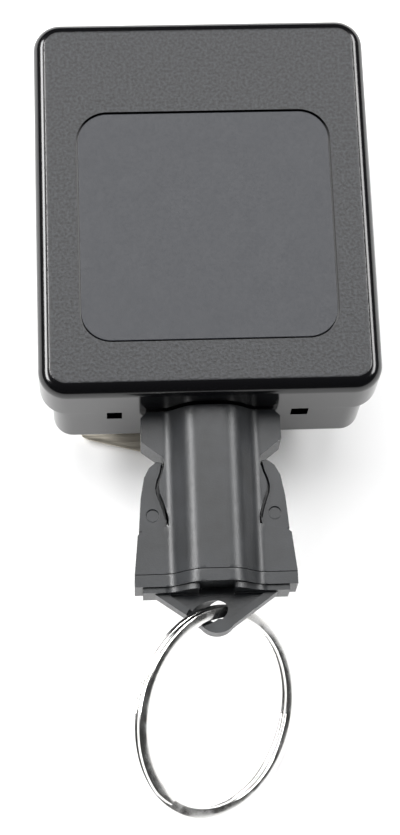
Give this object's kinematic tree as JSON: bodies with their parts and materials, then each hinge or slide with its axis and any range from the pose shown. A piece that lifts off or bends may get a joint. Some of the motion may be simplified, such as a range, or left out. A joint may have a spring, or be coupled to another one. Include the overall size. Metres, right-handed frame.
{
  "type": "retractable key reel",
  "caption": "Spring-wound retractable reel with blank label panel, quick-release buckle, split ring and swivelling belt clip.",
  "frame": {"origin": "on the belt clip's flat outer face, under the clip's swivel axis; the reel lies on its clip", "axes": "+X across the case, +Y away from the split ring along the line's way out, +Z out of the front of the case"},
  "size_m": [0.051, 0.1203, 0.03],
  "materials": {
    "case_plastic": "fine grain",
    "label_plastic": "smooth",
    "screw_steel": "zinc",
    "axle_steel": "turned",
    "nylon": "matt",
    "spool_plastic": "matt",
    "bushing_brass": "turned",
    "spring_steel": "blued",
    "line_cord": "braided",
    "ferrule_brass": "crimped",
    "guide_steel": "polished",
    "buckle_plastic": "satin",
    "ring_nickel": "nickel plated",
    "clip_steel": "brushed stainless",
    "washer_steel": "plain"
  },
  "bodies": {
    "case": {"front_cover": "case_plastic", "label_plate": "label_plastic", "rear_cover": "case_plastic", "case_screws": "screw_steel", "spool_axle": "axle_steel", "thrust_washer_rear": "nylon", "thrust_washer_front": "nylon", "line_run": "line_cord", "line_guide": "guide_steel", "clip_rivet": "clip_steel", "swivel_washer": "washer_steel"},
    "spool": {"spool": "spool_plastic", "spool_bushing": "bushing_brass", "spool_cap": "spool_plastic", "power_spring": "spring_steel", "line_pack": "line_cord"},
    "line_end": {"line_ferrule": "ferrule_brass", "line_lead": "line_cord"},
    "socket": {"buckle_socket": "buckle_plastic"},
    "plug": {"buckle_plug": "buckle_plastic"},
    "prong_left": {"prong_left": "buckle_plastic"},
    "prong_right": {"prong_right": "buckle_plastic"},
    "ring": {"split_ring": "ring_nickel"},
    "clip": {"clip_plate": "clip_steel"},
    "clip_leaf": {"clip_leaf": "clip_steel"}
  },
  "joints": [
    {"name": "line_pull", "type": "slide", "parent": "case", "child": "line_end", "axis": [0, -1, 0], "range_m": [0, 0.9], "stiffness_N_per_m": 2, "springref_m": -1, "deforming": ["line_lead"]},
    {"name": "spool_spin", "type": "hinge", "parent": "case", "child": "spool", "pos_m": [0, 0, 0.0185], "axis": [0, 0, 1], "continuous": true, "deforming": ["power_spring"]},
    {"name": "socket_swivel", "type": "hinge", "parent": "line_end", "child": "socket", "pos_m": [0, -0.034, 0.0185], "axis": [0, 1, 0], "continuous": true},
    {"name": "buckle_release", "type": "slide", "parent": "socket", "child": "plug", "axis": [0, -1, 0], "range_m": [0, 0.028], "deforming": ["prong_left", "prong_right"]},
    {"name": "prong_right_squeeze", "type": "hinge", "parent": "plug", "child": "prong_right", "pos_m": [0.0079, -0.05555, 0.0185], "axis": [0, 0, 1], "range_deg": [0, 8], "stiffness_Nm_per_rad": 0.3},
    {"name": "prong_left_squeeze", "type": "hinge", "parent": "plug", "child": "prong_left", "pos_m": [-0.0079, -0.05555, 0.0185], "axis": [0, 0, -1], "range_deg": [0, 8], "stiffness_Nm_per_rad": 0.3},
    {"name": "ring_swing", "type": "hinge", "parent": "plug", "child": "ring", "pos_m": [0, -0.0607, 0.0185], "axis": [0.7665, 0.2311, -0.5992], "range_deg": [-15, 20]},
    {"name": "clip_swivel", "type": "hinge", "parent": "case", "child": "clip", "pos_m": [0, 0, 0.006], "axis": [0, 0, 1], "continuous": true},
    {"name": "clip_flex", "type": "hinge", "parent": "clip", "child": "clip_leaf", "pos_m": [0.00666, 0.02487, 0.00375], "axis": [0.9659, -0.2588, 0], "range_deg": [0, 8], "stiffness_Nm_per_rad": 2}
  ],
  "couplings": [
    {"joint": "spool_spin", "follows": "line_pull", "rad_per_m": -55}
  ]
}
